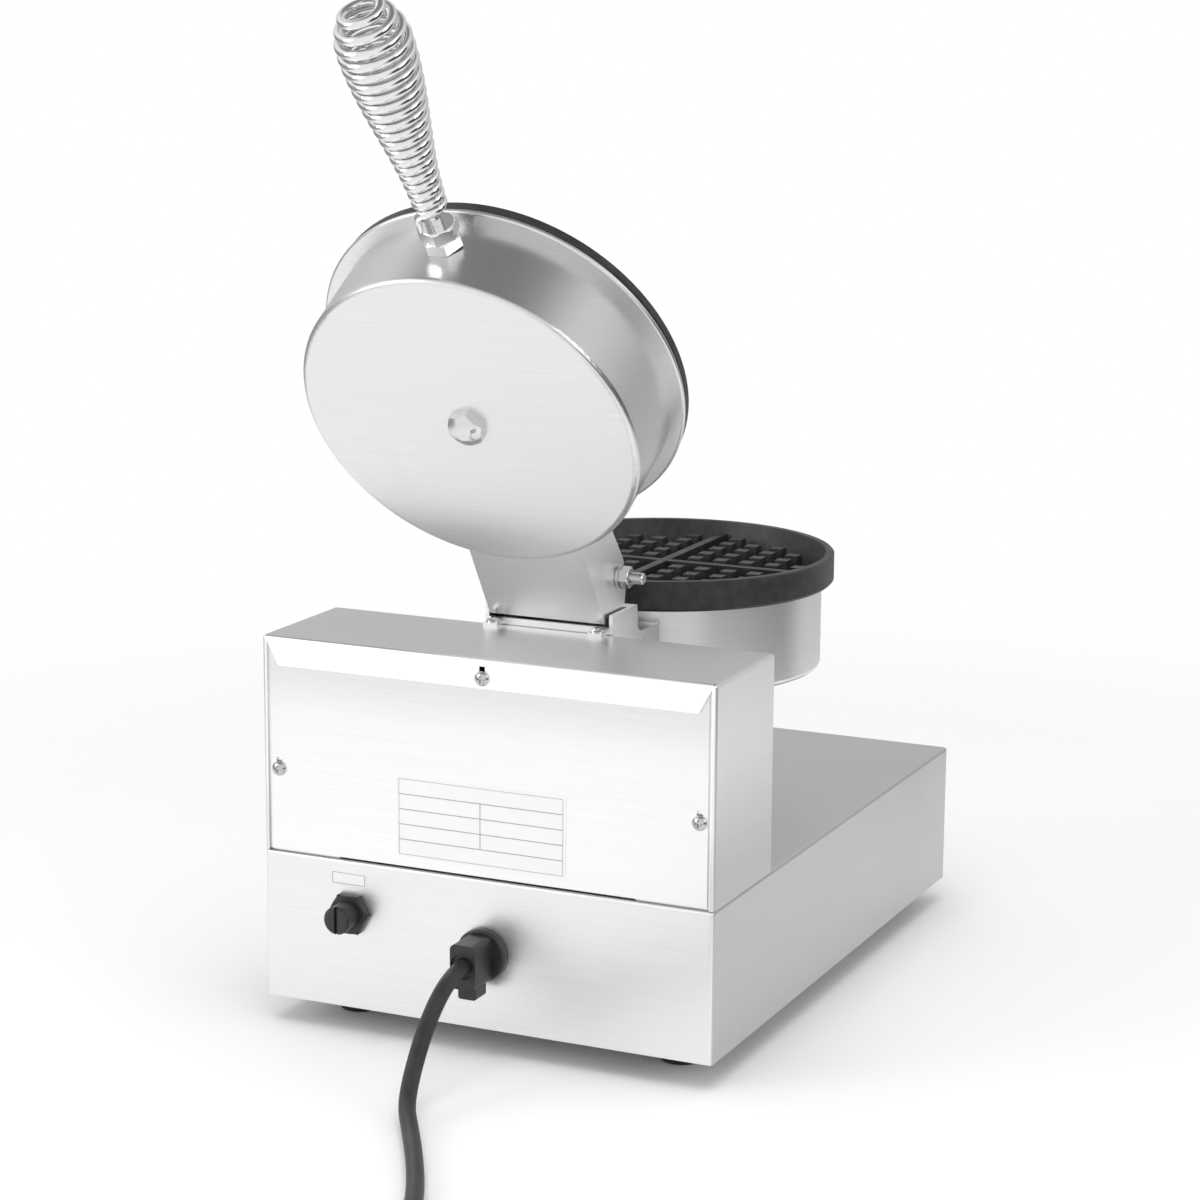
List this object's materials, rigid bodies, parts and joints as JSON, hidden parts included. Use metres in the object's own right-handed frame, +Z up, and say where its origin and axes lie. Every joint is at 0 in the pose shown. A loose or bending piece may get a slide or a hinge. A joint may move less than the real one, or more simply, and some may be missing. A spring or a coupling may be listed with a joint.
{
  "type": "round waffle maker",
  "caption": "Round waffle maker on a steel base, its black cast plates open on a rear hinge, with a chrome coil handle, dials, and a power cord laid out behind.",
  "frame": {"origin": "on the floor, under the middle of the object without its cord", "axes": "+Z up, -Y towards the controls and the user, +X to the user's right"},
  "size_m": [0.3939, 0.7212, 0.5298],
  "materials": {
    "brushed_steel": "brushed",
    "fasteners": "satin",
    "cast_black": "seasoned, satin",
    "chrome": "polished",
    "inner_steel": "zinc plated",
    "mineral_wool": "matte",
    "black_rubber": "matte",
    "lead_silicone": "matte",
    "black_plastic": "fine grain",
    "pale_plastic": "matte",
    "blank_plate": "satin",
    "red_lens": "gloss",
    "green_lens": "gloss",
    "brass": "bright"
  },
  "bodies": {
    "machine": {"base_shell": "brushed_steel", "tower_shell": "brushed_steel", "rear_cover": "brushed_steel", "bottom_plate": "brushed_steel", "neck": "brushed_steel", "lower_drum": "brushed_steel", "bottom_screws": "fasteners", "inner_screws": "fasteners", "rear_cover_screws": "fasteners", "neck_screws": "fasteners", "hinge_bolt": "fasteners", "hinge_nut": "fasteners", "control_nuts": "fasteners", "lower_centre_bolt": "fasteners", "lower_plate": "cast_black", "hinge_bracket": "inner_steel", "hinge_bush": "inner_steel", "drum_saddle": "inner_steel", "lower_clamp_disc": "inner_steel", "lower_heater": "inner_steel", "lower_insulation": "mineral_wool", "rubber_feet": "black_rubber", "power_cord": "black_rubber", "cord_coil": "black_rubber", "cord_tail": "black_rubber", "plug_body": "black_rubber", "inner_leads": "lead_silicone", "thermostat_body": "black_plastic", "timer_body": "black_plastic", "switch_body": "black_plastic", "cable_gland": "black_plastic", "gland_nut": "black_plastic", "reset_body": "black_plastic", "reset_nut": "black_plastic", "lamp_holders": "black_plastic", "terminal_block": "pale_plastic", "blank_plates": "blank_plate", "red_lamp_lens": "red_lens", "green_lamp_lens": "green_lens", "plug_pins": "brass"},
    "lid": {"lid_drum": "brushed_steel", "upper_plate": "cast_black", "upper_heater": "inner_steel", "upper_clamp_disc": "inner_steel", "upper_insulation": "mineral_wool", "upper_centre_bolt": "fasteners", "lid_arm": "brushed_steel", "arm_screws": "fasteners", "handle_stud": "chrome", "handle_nuts": "chrome", "handle_coil": "chrome", "lid_lead": "lead_silicone"},
    "thermostat_dial": {"thermostat_shaft": "fasteners", "thermostat_knob": "black_plastic"},
    "timer_dial": {"timer_shaft": "fasteners", "timer_knob": "black_plastic"},
    "rocker": {"power_rocker": "black_plastic"},
    "cap": {"reset_cap": "black_plastic"},
    "button": {"reset_button": "fasteners"}
  },
  "joints": [
    {"name": "lid_hinge", "type": "hinge", "parent": "machine", "child": "lid", "pos_m": [0, 0.03194, 0.2327], "axis": [1, 0, 0], "range_deg": [0, 122.1]},
    {"name": "thermostat_turn", "type": "hinge", "parent": "machine", "child": "thermostat_dial", "pos_m": [-0.062, -0.22996, 0.051], "axis": [0, 1, 0], "range_deg": [0, 270]},
    {"name": "timer_turn", "type": "hinge", "parent": "machine", "child": "timer_dial", "pos_m": [0.062, -0.22996, 0.051], "axis": [0, 1, 0], "range_deg": [0, 300]},
    {"name": "power_rock", "type": "hinge", "parent": "machine", "child": "rocker", "pos_m": [0, -0.22976, 0.051], "axis": [1, 0, 0], "range_deg": [-14, 0]},
    {"name": "cap_off", "type": "slide", "parent": "machine", "child": "cap", "axis": [0, 1, 0], "range_m": [0, 0.02]},
    {"name": "reset_press", "type": "slide", "parent": "machine", "child": "button", "axis": [0, -1, 0], "range_m": [0, 0.002], "stiffness_N_per_m": 300}
  ]
}
